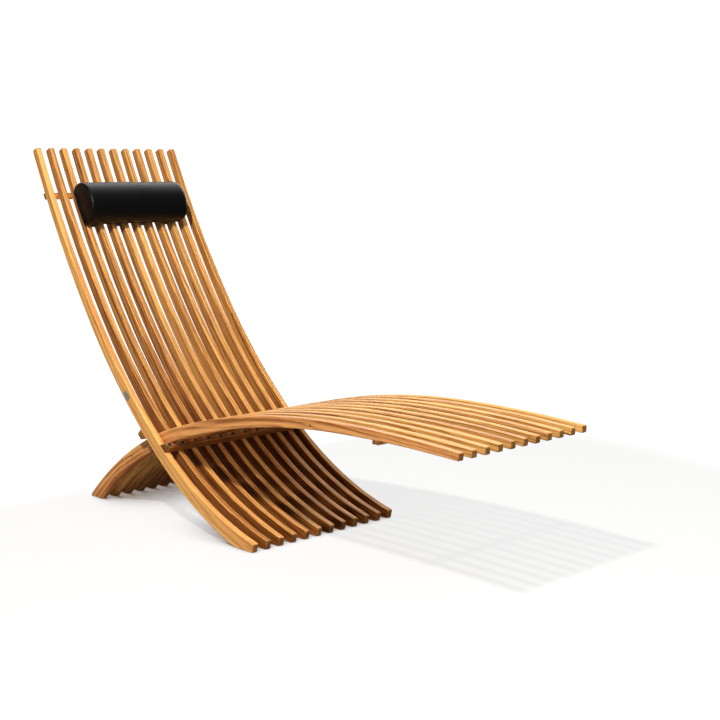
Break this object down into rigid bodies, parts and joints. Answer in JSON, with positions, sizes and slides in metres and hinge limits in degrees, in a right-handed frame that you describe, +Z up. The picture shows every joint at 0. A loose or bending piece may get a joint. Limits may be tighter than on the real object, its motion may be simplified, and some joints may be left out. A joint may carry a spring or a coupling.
{
  "type": "folding recliner",
  "caption": "Low folding slatted wood recliner: two crossing frames of bowed slats turn on a hidden rod and rest on stop bars, with a strapped padded neck roll.",
  "frame": {"origin": "on the floor under the middle of the lounger's overall length and width", "axes": "+X towards the foot end of the seat, +Y across the width from the plate side to the far side, +Z up"},
  "size_m": [1.7306, 0.5145, 1.0453],
  "materials": {
    "back_wood": "oiled, fine straight grain, warm golden brown",
    "seat_wood": "oiled, fine straight grain, lighter golden brown",
    "bar_wood": "oiled, fine straight grain",
    "roll_leather": "smooth black, soft sheen",
    "strap_webbing": "woven webbing, matte grey",
    "steel": "brushed, dull",
    "brass_insert": "machined",
    "plate_metal": "satin, bare",
    "spacer_plastic": "dark, matte"
  },
  "bodies": {
    "back_frame": {"back_slat_01": "back_wood", "back_slat_02": "back_wood", "back_slat_03": "back_wood", "back_slat_04": "back_wood", "back_slat_05": "back_wood", "back_slat_06": "back_wood", "back_slat_07": "back_wood", "back_slat_08": "back_wood", "back_slat_09": "back_wood", "back_slat_10": "back_wood", "back_slat_11": "back_wood", "back_slat_12": "back_wood", "front_bar_bolts": "steel", "front_bar_inserts": "brass_insert", "front_stop_bar": "bar_wood", "neck_roll": "roll_leather", "neck_strap_1": "strap_webbing", "neck_strap_2": "strap_webbing", "neck_strap_3": "strap_webbing", "neck_strap_4": "strap_webbing", "pivot_rod": "steel", "pivot_spacers": "spacer_plastic", "rear_bar_screws": "steel", "rear_stop_bar": "bar_wood", "rod_plugs": "bar_wood", "side_plate": "plate_metal", "side_plate_pins": "plate_metal", "upper_bar_screws": "steel", "upper_cross_bar": "bar_wood"},
    "seat_frame": {"foot_bar_screws": "steel", "foot_cross_bar": "bar_wood", "seat_slat_01": "seat_wood", "seat_slat_02": "seat_wood", "seat_slat_03": "seat_wood", "seat_slat_04": "seat_wood", "seat_slat_05": "seat_wood", "seat_slat_06": "seat_wood", "seat_slat_07": "seat_wood", "seat_slat_08": "seat_wood", "seat_slat_09": "seat_wood", "seat_slat_10": "seat_wood", "seat_slat_11": "seat_wood"}
  },
  "joints": [
    {"name": "fold", "type": "hinge", "parent": "back_frame", "child": "seat_frame", "pos_m": [-0.2643, 0, 0.2279], "axis": [0, -1, 0], "range_deg": [0, 108]}
  ]
}
